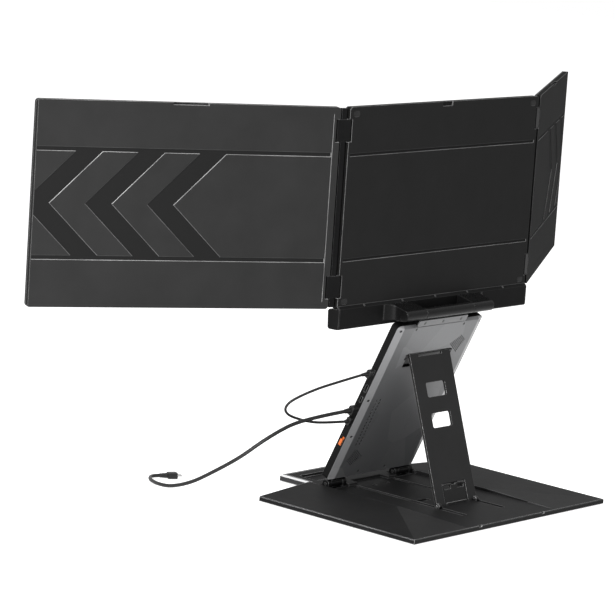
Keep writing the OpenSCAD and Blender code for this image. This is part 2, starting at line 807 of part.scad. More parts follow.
// Bracket inside the unit with a lug outside each strut ear
module strut_bracket() {
  color([0.45, 0.45, 0.47]) in_unit() {
    translate([-lug_x - 6, floor_y, strut_up - 8]) cube([2 * lug_x + 12, 1.8, 16]);
    both_sides() difference() {
      union() {
        translate([0, 0, strut_up]) rod_x(lug_x, lug_x + 5.4, back_y - 0.1);
        translate([lug_x, floor_y, strut_up - 2.8]) cube([5.4, -floor_y, 5.6]);
      }
      translate([0, 0, strut_up]) rod_x(0, unit_w / 2, strut_pin_r + press_gap);
    }
  }
}

module strut_pins() {
  color([0.75, 0.75, 0.76]) in_unit() both_sides()
    translate([0, 0, strut_up]) rod_x(strut_w / 2 - ear_l + 0.6, lug_x + 5.4, strut_pin_r);
}

module power_switch() {
  out = shell_wall + 1.4;
  color([0.85, 0.32, 0.12]) in_unit() translate([wall_x, port_y - switch_w / 2, unit_z0 + switch_z]) {
    translate([-1, 0, -switch_l / 2]) cube([out + 1, switch_w, switch_l]);
    for (z = [-2.4, 0, 2.4]) translate([out - eps, 0, z - 0.4]) cube([0.5, switch_w, 0.8]);
    translate([-1.5, -1, -6.5]) cube([1.3, switch_w + 2, 13]);
  }
}

// ---- Strut

module strut_profile() {
  polygon([web_top, web_top - [strut_t, 0], web_foot - [strut_t, 0], web_foot]);
}

module ear_profile() {
  circle(ear_r);
  translate([0, -strut_l]) circle(ear_r);
}

module strut() {
  half = strut_w / 2;
  color([0.16, 0.16, 0.17]) in_strut() difference() {
    union() {
      along_x(-half, half) strut_profile();
      both_sides() along_x(half - ear_l, half) ear_profile();
    }
    both_sides() rod_x(half - ear_l - 1, half + 1, strut_pin_r + run_gap);
    both_sides() translate([0, 0, -strut_l]) rod_x(half - 4, half + 1, foot_pin_r + press_gap);
    translate([-top_slot[0] / 2, -5, -0.9 - top_slot[1]]) cube([top_slot[0], 12, top_slot[1]]);
    for (z = window_z) translate([-window_w / 2, 0, z - window_h / 2])
      plate(window_w, window_h, 2.5, -12, 12);
    translate([-flap_w / 2 - side_gap, -12, web_foot[1] - 1])
      cube([flap_w + 2 * side_gap, 24, flap_pin_z - web_foot[1] + flap_top + 2]);
    both_sides() translate([0, web_y(flap_pin_z) - strut_t / 2, flap_pin_z])
      rod_x(flap_w / 2 - 1, flap_w / 2 + 4.6, flap_pin_r + press_gap);
  }
}

module strut_foot_pins() {
  color([0.8, 0.8, 0.82]) in_strut() both_sides() translate([0, 0, -strut_l])
    rod_x(strut_w / 2 - 3.9, strut_w / 2 + 2.2, foot_pin_r);
}

// Flap frame: its pin at the origin, hanging down along the strut's face
module in_flap() {
  in_strut() translate([0, web_y(flap_pin_z) - strut_t / 2, flap_pin_z])
    rotate([-atan(web_lean), 0, 0]) children();
}

module latch_flap() {
  color([0.14, 0.14, 0.15]) in_flap() difference() {
    union() {
      translate([-flap_w / 2, 0, flap_top - flap_l]) plate(flap_w, flap_l, 0.9, -flap_t / 2, flap_t / 2);
      translate([-flap_w / 2 + 3, flap_t / 2 - eps, 1.4 - flap_l]) cube([flap_w - 6, 1.4, 1.6]);
    }
    both_sides() translate([6.4, 0, -6.1]) plate(13, 4.7, 1.2, -5, 5);
    both_sides() rod_x(flap_w / 2 - 4, flap_w / 2 + 1, flap_pin_r + run_gap);
    translate([-4, -5, -1.2]) cube([8, 10, 3]);
  }
}

module latch_pins() {
  color([0.75, 0.75, 0.76]) in_strut() both_sides()
    translate([0, web_y(flap_pin_z) - strut_t / 2, flap_pin_z])
      rod_x(flap_w / 2 - 3, flap_w / 2 + 4.4, flap_pin_r);
}

// ---- Base

// Base outline drawn in by a margin
module base_outline(m) {
  x = base_w / 2 - m;
  polygon([[x, base_rear - m], [x, m - base_front], [tray_w / 2, m - tray_join],
    [-tray_w / 2, m - tray_join], [-x, m - base_front], [-x, base_rear - m]]);
}

// Plate with hip-shaped facets: one roof profile across, one along
module base_plate_form() {
  x = base_w / 2;
  intersection() {
    translate([0, 0, foot_h]) linear_extrude(crest_z) base_outline(0);
    translate([0, base_rear, 0]) rotate([90, 0, 0]) linear_extrude(base_rear + tray_join)
      polygon([[-x, 0], [-x, edge_z - 0.7], [-x + 0.7, edge_z], [-crest_x, crest_z], [crest_x, crest_z],
        [x - 0.7, edge_z], [x, edge_z - 0.7], [x, 0]]);
    along_x(-x, x) polygon([[-tray_join, 0], [-tray_join, crest_z], [crest_y, crest_z],
      [base_rear - 0.7, edge_z], [base_rear, edge_z - 0.7], [base_rear, 0]]);
  }
}

// Sunk middle between the crests: its floor rises to the rear edge
module valley_form() {
  top = crest_z + 2;
  intersection() {
    translate([0, base_rear + 1, 0]) rotate([90, 0, 0]) linear_extrude(base_rear + tray_back + 1)
      polygon([[-valley_x, top], [-valley_x, 0], [valley_x, 0], [valley_x, top]]);
    along_x(-crest_x, crest_x) polygon([[-tray_back, floor_z], [base_rear, edge_z], [base_rear + 1, edge_z],
      [base_rear + 1, top], [-tray_back, top]]);
  }
}

module track_slot() {
  translate([track_x - track_half, track_y0, track_z])
    linear_extrude(10) rrect(2 * track_half, track_y1 - track_y0, track_half - 0.2);
}

module base_shell() {
  color([0.17, 0.17, 0.18]) difference() {
    union() {
      difference() {
        base_plate_form();
        valley_form();
        translate([-valley_x, -tray_join - 1, tray_z])
          cube([2 * valley_x, tray_join + 2 - tray_back, crest_z]);
      }
      translate([frame_w - tray_w / 2, frame_w - tray_front, foot_h])
        cube([tray_w - 2 * frame_w, tray_front - frame_w - tray_back, tray_z - foot_h]);
      translate([-tray_w / 2, -tray_join, foot_h])
        cube([tray_w, tray_join - tray_back, tray_z - foot_h]);
    }
    translate([0, 0, foot_h - 1]) linear_extrude(sheet_t + 1) base_outline(sheet_inset);
    both_sides() translate([pocket_x, pocket_y, foot_h + sheet_t - eps]) cube(pocket);
    both_sides() track_slot();
    both_sides() translate([knuckle_x - knuckle_l / 2 - lug_l - 2 * side_gap - 1,
      hinge[0] - trough_half, trough_z])
      cube([knuckle_l + 2 * lug_l + 4 * side_gap + 2, 2 * trough_half + 1, 10]);
    translate([0, hinge[0] - 4, floor_z]) translate([-30, 0, 0]) cube([60, 14, 10]);
    translate([-recess[0] / 2, recess_y - recess[1] / 2, tray_z - recess[2]])
      linear_extrude(10) rrect(recess[0], recess[1], 4);
    both_sides() translate([catch_x - catch_size[0] / 2, catch_y - catch_size[1] / 2, 3.2])
      linear_extrude(10) rrect(catch_size[0], catch_size[1], 3);
    both_sides() translate([12.5, -58, 3]) linear_extrude(10) translate([-4, -2]) rrect(8, 4, 1.8);
    both_sides() translate([59.5, base_rear - 3, edge_z - 1.8]) cube([5, 4, 10]);
    both_sides() translate([valley_x - 0.9, -tray_back, floor_z - 0.8]) cube([0.9, 106 + tray_back, 10]);
  }
}

// Stamped frame round the tray, with its upper edge bevelled
module tray_frame() {
  x = tray_w / 2;
  color([0.7, 0.7, 0.72]) difference() {
    intersection() {
      translate([0, -tray_join, 0]) rotate([90, 0, 0]) linear_extrude(tray_front - tray_join)
        polygon([[-x, foot_h], [-x, tray_z - chamfer], [chamfer - x, tray_z], [x - chamfer, tray_z],
          [x, tray_z - chamfer], [x, foot_h]]);
      along_x(-x, x) polygon([[-tray_front, foot_h], [-tray_front, tray_z - chamfer],
        [chamfer - tray_front, tray_z], [-tray_join, tray_z], [-tray_join, foot_h]]);
    }
    translate([frame_w - x, frame_w - tray_front, 0]) cube([tray_w - 2 * frame_w, tray_front, 20]);
  }
}

module base_sheet() {
  color([0.3, 0.3, 0.31]) difference() {
    translate([0, 0, foot_h]) linear_extrude(sheet_t) base_outline(sheet_inset + 0.1);
    for (p = sheet_spots) translate([p[0], p[1], foot_h - 1]) cylinder(h = 4, r = 2.6);
  }
}

sheet_spots = [for (x = [-150, -60, 60, 150], y = [-70, 90]) [x, y]];

module base_screws() {
  color([0.5, 0.5, 0.52]) for (p = sheet_spots)
    translate([p[0], p[1], foot_h + 0.2]) cylinder(h = sheet_t - 0.2, r = 2.6 - press_gap);
}

module base_weights() {
  color([0.4, 0.4, 0.4]) both_sides()
    translate([pocket_x + 0.3, pocket_y + 0.3, foot_h + sheet_t])
      cube([pocket[0] - 0.6, pocket[1] - 0.6, pocket[2] - 0.1]);
}

// Rubber feet: four pads, two bars under the tray and one bar across the middle
module base_feet() {
  color([0.07, 0.07, 0.07]) {
    for (x = [-160, 160], y = [-72, 128]) translate([x, y, 0]) cylinder(h = foot_h, r = 8);
    both_sides() translate([35, 4 - tray_front, 0]) cube([36, 8, foot_h]);
    translate([-40, -6, 0]) cube([80, 12, foot_h]);
  }
}

module base_brackets() {
  color([0.15, 0.15, 0.16]) both_sides() translate([0, hinge[0], 0]) difference() {
    x0 = knuckle_x - knuckle_l / 2 - side_gap - lug_l;
    union() {
      for (x = [x0, x0 + lug_l + knuckle_l + 2 * side_gap]) {
        translate([0, 0, hinge[1]]) rod_x(x, x + lug_l, knuckle_r + 0.2);
        translate([x, -knuckle_r - 0.2, trough_z]) cube([lug_l, 2 * knuckle_r + 0.4, hinge[1] - trough_z]);
      }
      translate([x0, -7.5, trough_z]) cube([2 * lug_l + knuckle_l + 2 * side_gap, 15, 1.3]);
    }
    translate([0, 0, hinge[1]]) rod_x(0, unit_w, unit_pin_r + press_gap);
  }
}

module base_pins() {
  x0 = knuckle_x - knuckle_l / 2 - side_gap - lug_l;
  color([0.6, 0.6, 0.62]) both_sides() translate([0, hinge[0], hinge[1]])
    rod_x(x0, x0 + 2 * lug_l + knuckle_l + 2 * side_gap, unit_pin_r);
}

// ---- Cables

function unit_vec(v) = v / norm(v);
function catmull(p, i, t) = let (a = p[max(i - 1, 0)], b = p[i], c = p[i + 1], d = p[min(i + 2, len(p) - 1)])
  0.5 * (2 * b + (c - a) * t + (2 * a - 5 * b + 4 * c - d) * t * t + (3 * b - a - 3 * c + d) * t * t * t);
function path(p, n) = [for (i = [0:len(p) - 2], k = [0:n - 1]) catmull(p, i, k / n), p[len(p) - 1]];
function tangent(q, i) = i == 0 ? [1, 0, 0] : unit_vec(q[min(i + 1, len(q) - 1)] - q[i - 1]);
function carried(v, t) = unit_vec(v - (v * t) * t);
function frames(q, i, v) = i == len(q) ? [] :
  let (w = carried(v, tangent(q, i))) concat([w], frames(q, i + 1, w));

// Round tube swept through the route's points, n rings between two of them
module tube(route, r, sides, n, last) {
  q = path(route, n);
  f = frames(q, 0, [0, 0, 1]);
  m = len(q);
  pts = [for (i = [0:m - 1]) let (t = i == m - 1 ? last : tangent(q, i), u = carried(f[i], t), w = cross(t, u))
    for (k = [0:sides - 1]) q[i] + r * (cos(360 * k / sides) * u + sin(360 * k / sides) * w)];
  faces = concat([[for (k = [0:sides - 1]) k]],
    [for (i = [0:m - 2], k = [0:sides - 1]) let (a = i * sides + k, b = i * sides + (k + 1) % sides)
      [b, a, a + sides]],
    [for (i = [0:m - 2], k = [0:sides - 1]) let (a = i * sides + k, b = i * sides + (k + 1) % sides)
      [b, a + sides, b + sides]],
    [[for (k = [sides - 1:-1:0]) (m - 1) * sides + k]]);
  polyhedron(points = pts, faces = faces);
}

far_turn = 150;
plug_l = 22;
jumper_lo_l = 12;
jumper_hi_l = 21;
cable_r = 2.3;
jumper_r = 1.6;
function port_at(z, out) = [unit_w / 2 + out,
  hinge[0] + port_y * cos(unit_tilt) + (unit_z0 + z) * sin(unit_tilt),
  hinge[1] - port_y * sin(unit_tilt) + (unit_z0 + z) * cos(unit_tilt)];
main_route = concat([port_at(port_c_mid, plug_l)], [[150, -46, 109], [186, -54, 102], [214, -68, 85],
  [232, -92, 60], [241, -125, 36], [245, -155, 18], [246, -185, 7], [243, -210, 4], [234, -231, 3.6],
  [221, -242, 3.6], [209, -240, 3.6]]);
jumper_route = concat([port_at(port_c_hi, jumper_hi_l)], [[140, -26, 155], [168, -32, 149], [190, -41, 140],
  [200, -49, 131], [195, -57, 120], [174, -62, 109], [140, -56, 100]], [port_at(port_c_lo, jumper_lo_l)]);

// USB-C plug lying along X from x = 0: steel tip inside, moulded grip and boot outside
module c_plug(l, r) {
  t = 2 * r + 3.3;
  w = 2 * r + 7.8;
  translate([-6, -1.2, -4]) rotate([90, 0, 90]) linear_extrude(6) rrect(2.4, 8, 1.1);
  translate([0, -t / 2, -w / 2]) rotate([90, 0, 90]) linear_extrude(l * 0.5) rrect(t, w, 2);
  rod_x(l * 0.48, l * 0.75, r + 0.9);
  rod_x(l * 0.73, l, r + 0.5);
}

module plug_at(z, l, r) {
  in_unit() translate([wall_x + shell_wall, port_y, unit_z0 + z]) c_plug(l, r);
}

module main_plug() {
  color([0.1, 0.1, 0.1]) plug_at(port_c_mid, plug_l, cable_r);
}

module main_far_plug() {
  color([0.1, 0.1, 0.1]) translate(main_route[len(main_route) - 1]) rotate([0, 0, far_turn])
    translate([plug_l, 0, 0]) mirror([1, 0, 0]) rotate([90, 0, 0]) c_plug(plug_l, cable_r);
}

module jumper_plugs() {
  color([0.1, 0.1, 0.1]) {
    plug_at(port_c_hi, jumper_hi_l, jumper_r);
    plug_at(port_c_lo, jumper_lo_l, jumper_r);
  }
}

module main_cable() {
  color([0.1, 0.1, 0.1]) tube(main_route, cable_r, 10, 4, [cos(far_turn), sin(far_turn), 0]);
}

module jumper_cable() {
  color([0.1, 0.1, 0.1]) tube(jumper_route, jumper_r, 8, 4, [-1, 0, 0]);
}

base_shell();
base_sheet();
base_weights();
base_feet();
base_screws();
tray_frame();
base_brackets();
base_pins();
unit_shell();
unit_cover();
unit_board();
unit_ports();
unit_speakers();
unit_screws();
unit_knuckles();
hinge_tab();
tab_screws();
hinge_arm();
tilt_shaft();
strut_bracket();
strut_pins();
power_switch();
strut();
strut_foot_pins();
latch_flap();
latch_pins();
centre_cover();
centre_bezel();
centre_display();
corner_pads();
chin_bar();
chin_caps();
chin_screws();
yoke();
barrel_caps();
centre_link_pins();
right_links();
right_cover();
right_bezel();
right_display();
right_link_pins();
left_links();
left_cover();
left_bezel();
left_display();
left_link_pins();
main_cable();
main_plug();
main_far_plug();
jumper_cable();
jumper_plugs();
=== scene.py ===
import bpy, json, math
from mathutils import Matrix, Vector


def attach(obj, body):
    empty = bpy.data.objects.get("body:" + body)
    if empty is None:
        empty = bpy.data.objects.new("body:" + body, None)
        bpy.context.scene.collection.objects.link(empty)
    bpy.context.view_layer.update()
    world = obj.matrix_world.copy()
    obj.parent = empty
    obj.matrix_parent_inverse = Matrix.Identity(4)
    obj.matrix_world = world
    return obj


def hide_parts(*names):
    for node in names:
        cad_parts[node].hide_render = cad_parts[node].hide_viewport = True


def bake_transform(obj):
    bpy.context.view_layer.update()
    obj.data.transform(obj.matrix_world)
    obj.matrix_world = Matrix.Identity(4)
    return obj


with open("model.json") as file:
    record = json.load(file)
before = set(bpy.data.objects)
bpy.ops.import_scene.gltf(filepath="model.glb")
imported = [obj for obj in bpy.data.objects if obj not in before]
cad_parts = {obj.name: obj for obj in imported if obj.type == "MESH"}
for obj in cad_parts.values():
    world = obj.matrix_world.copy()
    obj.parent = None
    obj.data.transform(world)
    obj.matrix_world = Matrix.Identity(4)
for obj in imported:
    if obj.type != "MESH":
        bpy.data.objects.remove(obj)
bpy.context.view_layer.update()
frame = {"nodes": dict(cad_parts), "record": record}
print("frame loaded:", len(frame["nodes"]), "solids")

scene = bpy.context.scene
scene.view_settings.view_transform = "Standard"

# the camera, solved from the corners of the screens and the base

view = {"turn": 130.02, "height": 10.18, "roll": 4.58, "distance": 3.8794, "target": (0.23765, 0, 0.25945),
        "focal": 3327.1, "pixels": 615, "sensor": 36, "clipEnd": 50}

turn, height, roll = (math.radians(view[k]) for k in ("turn", "height", "roll"))
backward = Vector((math.sin(turn) * math.cos(height), -math.cos(turn) * math.cos(height), math.sin(height)))
sideways = Vector((0, 0, 1)).cross(backward).normalized()
rising = backward.cross(sideways)
right = sideways * math.cos(roll) + rising * math.sin(roll)
up = rising * math.cos(roll) - sideways * math.sin(roll)
lookFrame = Matrix((right, up, backward)).transposed().to_4x4()
camera = bpy.data.objects.new("camera", bpy.data.cameras.new("camera"))
scene.collection.objects.link(camera)
camera.data.sensor_width = view["sensor"]
camera.data.lens = view["focal"] / view["pixels"] * view["sensor"]
camera.data.clip_end = view["clipEnd"]
camera.matrix_world = Matrix.Translation(Vector(view["target"]) + backward * view["distance"]) @ lookFrame
scene.camera = camera
print("camera set")

# the leaning unit, as the solids have it: X across, Y out of its back, Z up its length

unit = {"tilt": 23.85, "pivot": (0, -0.0795, 0.011), "low": 0.0056, "long": 0.2285, "side": 0.083,
        "portDeep": -0.0048, "coverTop": 0.0029, "coverFlat": 0.0722, "coverFall": 3.5 / 11}

unitFrame = Matrix.Translation(unit["pivot"]) @ Matrix.Rotation(-math.radians(unit["tilt"]), 4, "X")
alongUnit, outOfUnit = (unitFrame.to_3x3() @ Vector(way) for way in ((0, 0, 1), (0, 1, 0)))


# small helpers for modelling

square = 0.9                             # how squarely a picked face has to look along its axis
softening = {"merge": 0.00001, "flat": 2, "sharp": 40, "steps": 3}


def clearSelection():
    if bpy.context.object and bpy.context.object.mode != "OBJECT":
        bpy.ops.object.mode_set(mode="OBJECT")
    bpy.ops.object.select_all(action="DESELECT")


def chosen(piece):                       # makes it the one selected and active object
    clearSelection()
    piece.select_set(True)
    bpy.context.view_layer.objects.active = piece


def started(name):                       # names the primitive just added and opens it for editing
    piece = bpy.context.object
    piece.name = name
    piece.data.name = name
    bpy.ops.object.transform_apply(location=True, rotation=True, scale=True)
    bpy.ops.object.mode_set(mode="EDIT")
    return piece


def block(name, size, at=(0, 0, 0)):
    clearSelection()
    bpy.ops.mesh.primitive_cube_add(size=1, location=at, scale=size)
    return started(name)


def rod(name, radius, long, at, sides):  # lies along X
    clearSelection()
    bpy.ops.mesh.primitive_cylinder_add(vertices=sides, radius=radius, depth=long, location=at,
                                        rotation=(0, math.pi / 2, 0))
    return started(name)


def pickFaces(piece, test):              # selects the faces whose middle and normal pass the test
    bpy.ops.mesh.select_mode(type="FACE")
    bpy.ops.mesh.select_all(action="DESELECT")
    bpy.ops.object.mode_set(mode="OBJECT")
    for face in piece.data.polygons:
        face.select = bool(test(face.center, face.normal))
    bpy.ops.object.mode_set(mode="EDIT")


def pickLengthwise(piece):               # selects a block's edges that run along X
    bpy.ops.mesh.select_mode(type="EDGE")
    bpy.ops.mesh.select_all(action="DESELECT")
    bpy.ops.object.mode_set(mode="OBJECT")
    for edge in piece.data.edges:
        start, end = (piece.data.vertices[index].co for index in edge.vertices)
        edge.select = abs(start.x - end.x) > 0.001
    bpy.ops.object.mode_set(mode="EDIT")


def rounded(width, steps):
    bpy.ops.mesh.bevel(offset=width, offset_type="OFFSET", segments=steps, profile=0.5, affect="EDGES")


def placed(piece, where=None, smooth=35):   # closes the piece, shades it and puts its place in its mesh
    chosen(piece)
    if smooth:
        bpy.ops.object.shade_smooth_by_angle(angle=math.radians(smooth))
    if where is not None:
        piece.data.transform(where)
    return piece


def softened(name, node, width):         # a copy of a solid with its sharp edges rounded
    solid = frame["nodes"][node]
    piece = bpy.data.objects.new(name, solid.data.copy())
    scene.collection.objects.link(piece)
    piece.data.transform(solid.matrix_world)
    piece.data.materials.clear()
    chosen(piece)
    bpy.ops.object.mode_set(mode="EDIT")
    bpy.ops.mesh.select_all(action="SELECT")
    bpy.ops.mesh.remove_doubles(threshold=softening["merge"])
    bpy.ops.mesh.dissolve_limited(angle_limit=math.radians(softening["flat"]))
    bpy.ops.mesh.select_mode(type="EDGE")
    bpy.ops.mesh.select_all(action="DESELECT")
    bpy.ops.mesh.edges_select_sharp(sharpness=math.radians(softening["sharp"]))
    rounded(width, softening["steps"])
    return placed(piece)


def joined(name, parts):
    clearSelection()
    for part in parts:
        part.select_set(True)
    bpy.context.view_layer.objects.active = parts[0]
    bpy.ops.object.join()
    parts[0].name = name
    parts[0].data.name = name
    return parts[0]


# materials: a wire carries a value, and sums on wires add their own nodes

class Wire:
    def __init__(self, finish, socket):
        self.finish, self.socket = finish, socket

    def reckon(self, operation, *values):
        sockets = dict(enumerate(values or (self,)))
        return self.finish.node("ShaderNodeMath", {"operation": operation}, sockets)

    def __add__(self, other):
        return self.reckon("ADD", self, other)

    def __sub__(self, other):
        return self.reckon("SUBTRACT", self, other)

    def __rsub__(self, other):
        return self.reckon("SUBTRACT", other, self)

    def __mul__(self, other):
        return self.reckon("MULTIPLY", self, other)

    def most(self, other):
        return self.reckon("MAXIMUM", self, other)

    def swing(self, share):              # a pattern's ups and downs about nothing
        return (self - 0.5) * share

    def raised(self, least):             # the same pattern from least to 1
        return self * (1 - least) + least

    def limited(self, low, high):        # stretches low..high to 0..1 and cuts the rest off
        sockets = {"Value": self, "From Min": low, "From Max": high}
        return self.finish.node("ShaderNodeMapRange", {"clamp": True}, sockets)


class Finish:
    def __init__(self, name):
        self.material = bpy.data.materials.new(name)
        self.material.use_nodes = True
        self.tree = self.material.node_tree
        self.shader = self.tree.nodes["Principled BSDF"]
        self.place = self.node("ShaderNodeTexCoord", {}, {}, "Object")

    def node(self, kind, settings, sockets, output=0):
        made = self.tree.nodes.new(kind)
        for key, value in settings.items():
            setattr(made, key, value)
        for key, value in sockets.items():
            self.wire(made.inputs[key], value)
        return Wire(self, made.outputs[output])

    def wire(self, socket, value):
        if isinstance(value, Wire):
            self.tree.links.new(value.socket, socket)
        elif isinstance(value, tuple) and socket.type == "RGBA" and len(value) == 3:
            socket.default_value = (*value, 1)
        else:
            socket.default_value = value

    def noise(self, scale, detail, stretch=None):
        place = self.place
        if stretch:
            place = self.node("ShaderNodeMapping", {}, {"Vector": place, "Scale": stretch})
        sockets = {"Vector": place, "Scale": scale, "Detail": detail, "Roughness": 0.55}
        return self.node("ShaderNodeTexNoise", {}, sockets)

    def mixed(self, share, first, second):
        return self.node("ShaderNodeMix", {"data_type": "RGBA"}, {0: share, 6: first, 7: second}, 2)

    def ground(self, cloud, look):       # the main colour drifts between two close ones
        return self.mixed(cloud.limited(0.3, 0.75), look["dark"], look["light"])

    def facing(self, way, normal):       # how far a normal points along a direction
        return self.node("ShaderNodeVectorMath", {"operation": "DOT_PRODUCT"}, {0: normal, 1: way}, "Value")

    def along(self, way):                # how far the place lies along a direction
        return self.facing(way, self.place)

    def flatFacing(self, way):           # the same for the face itself, without smooth shading
        return self.facing(way, self.node("ShaderNodeNewGeometry", {}, {}, "True Normal"))

    def edges(self, width):              # a normal that rounds the solid's sharp edges, and where they are, weighted for a painted highlight
        soft = self.node("ShaderNodeBevel", {"samples": 8}, {"Radius": width})
        flat = self.node("ShaderNodeNewGeometry", {}, {}, "Normal")
        edge = (1 - self.facing(flat, soft)).limited(0.005, 0.12)
        keyLightSide = self.facing((0.62, -0.2, 0.76), soft).limited(-0.1, 0.6)
        return soft, edge * keyLightSide.raised(0.1)   # painted highlight: edges facing up and towards the side lamp count most

    def bumped(self, height, normal, strength, deep):
        sockets = {"Height": height, "Strength": strength, "Distance": deep, "Normal": normal}
        return self.node("ShaderNodeBump", {}, sockets)

    def done(self, **values):
        for key, value in values.items():
            self.wire(self.shader.inputs[key.replace("_", " ")], value)
        return self.material


def slottedCover(f, look, rubbedAndLit):       # broad facets, a painted highlight on the lighter sloping border, and painted shade in the dark slots and vents
    across = f.along((1, 0, 0)).reckon("ABSOLUTE") - unit["coverFlat"]
    fallen = across.most(0.0) * unit["coverFall"]
    below = outOfUnit.dot(unitFrame @ Vector((0, unit["coverTop"], 0))) - f.along(outOfUnit) - fallen
    climbed = f.along(alongUnit) - (alongUnit.dot(Vector(unit["pivot"])) + unit["low"])
    deep, inset = look["slotDeep"], look["slotInset"]
    # painted shade: the shallow slots and vents, a fraction of a millimetre deep, are coloured near black
    slot = below.limited(*deep) * climbed.limited(*inset) * (unit["long"] - climbed).limited(*inset)
    sockets = {"Vector": f.place, "Scale": look["facets"], "Randomness": 1.0}
    cells = f.node("ShaderNodeTexVoronoi", {}, sockets, "Color")
    ground = f.mixed(f.facing((1, 0, 0), cells), look["dark"], look["light"])
    # painted highlight: the sloping border is mixed towards the light edge colour
    ground = f.mixed(across.limited(*look["border"]) * 0.5, ground, look["edge"])
    return f.mixed(slot, ground, look["sunk"]), rubbedAndLit * (1 - slot)


def mouldedPlastic(name, look):          # fine spark-eroded grain, cloudy sheen, edges painted bright by scuffing and a painted highlight
    f = Finish(name)
    soft, edge = f.edges(look.get("round", 0.0006))
    grain = f.noise(scale=2600, detail=1.0)
    cloud = f.noise(scale=look.get("cloud", 22), detail=3.0)
    streak = f.noise(scale=60, detail=4.0, stretch=(1, 1, 0.12))
    # edges painted lighter: partly scuffing, partly a painted highlight
    rubbedAndLit = edge * cloud.limited(0.25, 0.7).raised(0.4)
    ground = f.ground(cloud, look)
    if "back" in look:                   # the bands sunk below the housing's back are darker
        way, level = look["back"]
        ground = f.mixed((f.along(way) - level).limited(-0.0005, -0.0001), look["sunk"], ground)
    if "facets" in look:
        ground, rubbedAndLit = slottedCover(f, look, rubbedAndLit)
    if "outline" in look:                # the bright edges, scuffing and painted highlight, stay on the plate's outer edges
        side, rear, front = look["outline"]
        away = f.along((0, 1, 0))
        outer = (f.along((1, 0, 0)).reckon("ABSOLUTE") - side).most(away - rear).most(front - away)
        rubbedAndLit = rubbedAndLit * outer.limited(0.0, 0.0004).raised(0.2)
    if "hip" in look:                    # painted highlight: the facet that falls to the rear is painted lighter, as if it took more light
        ground = f.mixed(f.flatFacing((0, 1, 0)).limited(0.012, 0.03), ground, look["hip"])
    colour = f.mixed(rubbedAndLit * look.get("wearAndHighlight", 0.5), ground, look["edge"])
    rough = cloud.swing(look.get("patch", 0.1)) + grain.swing(0.1) + streak.swing(0.05) + look["rough"]
    normal = f.bumped(grain, soft, strength=look.get("bump", 0.25), deep=0.00004)
    return f.done(Base_Color=colour, Roughness=rough - rubbedAndLit * 0.12, Normal=normal,
                  Specular_IOR_Level=look.get("spec", 0.5), Metallic=look.get("metal", 0.0))


def paintedMetal(name, look):            # powder coat: orange peel over sheet metal, edges painted bright by chipping and a painted highlight
    f = Finish(name)
    soft, edge = f.edges(look.get("round", 0.0005))
    peel = f.noise(scale=900, detail=2.0)
    cloud = f.noise(scale=18, detail=3.0)
    chips = f.noise(scale=420, detail=3.0)
    # edges painted lighter and bared: partly chipping, partly a painted highlight
    wornAndLit = edge * chips.limited(0.42, 0.6).raised(look.get("even", 0.4))
    ground = f.ground(cloud, look)
    if "bevel" in look:                  # its sloping faces are coloured near white
        rise = f.flatFacing((0, 0, 1))
        ground = f.mixed(rise.limited(0.2, 0.3) * (1 - rise).limited(0.03, 0.08), ground, look["bevel"])
    colour = f.mixed(wornAndLit * look.get("wearAndHighlight", 0.5), ground, look["edge"])
    rough = peel.swing(0.2) + cloud.swing(0.12) + look["rough"] - wornAndLit * 0.12
    return f.done(Base_Color=colour, Roughness=rough, Metallic=wornAndLit * look.get("bare", 0.5),
                  Normal=f.bumped(peel, soft, strength=0.2, deep=0.00008),
                  Specular_IOR_Level=look.get("spec", 0.5))


def bareMetal(name, look):               # turned metal with fine lines
    f = Finish(name)
    soft, edge = f.edges(0.0003)
    lines = f.noise(scale=1200, detail=3.0, stretch=(0.03, 1, 1))
    cloud = f.noise(scale=30, detail=3.0)
    # edges painted lighter, most where they face the lamps: a painted highlight
    colour = f.mixed(edge * 0.5, f.ground(cloud, look), look["edge"])
    rough = lines.swing(0.25) + cloud.swing(0.1) + look["rough"]
    normal = f.bumped(lines, soft, strength=0.15, deep=0.00005)
    return f.done(Base_Color=colour, Roughness=rough, Metallic=1.0, Normal=normal)


def softRubber(name, look):              # smooth extruded or pressed rubber with faint dust
    f = Finish(name)
    soft, edge = f.edges(0.0004)
    skin = f.noise(scale=700, detail=3.0)
    dust = f.noise(scale=140, detail=4.0)
    colour = f.mixed(dust.limited(0.5, 0.8) * 0.5, look["dark"], look["light"])
    # edges painted lighter, most where they face the lamps: a painted highlight
    colour = f.mixed(edge * 0.3, colour, look["edge"])
    rough = skin.swing(0.2) + dust.swing(0.14) + look["rough"]
    normal = f.bumped(skin, soft, strength=0.2, deep=0.00006)
    return f.done(Base_Color=colour, Roughness=rough, Normal=normal, Specular_IOR_Level=0.3)


def displayGlass(name, look):            # anti-glare film over the dark panel, with its cell lines
    f = Finish(name)
    soft, edge = f.edges(0.0003)
    haze = f.noise(scale=3000, detail=1.0)
    smear = f.noise(scale=9, detail=4.0, stretch=(1, 1, 0.4))
    sockets = {"Vector": f.place, "Scale": 900.0}
    cells = f.node("ShaderNodeTexVoronoi", {"feature": "DISTANCE_TO_EDGE"}, sockets, "Distance")
    colour = f.mixed(cells.limited(0.0, 0.5) * 0.5, look["dark"], look["light"])
    colour = f.mixed(smear.limited(0.45, 0.8) * 0.35, colour, look["edge"])
    rough = haze.swing(0.1) + smear.swing(0.12) + look["rough"]
    return f.done(Base_Color=colour, Roughness=rough, Coat_Weight=(1 - edge) * 0.12,
                  Normal=f.bumped(haze, soft, strength=0.15, deep=0.00002), Specular_IOR_Level=0.2)


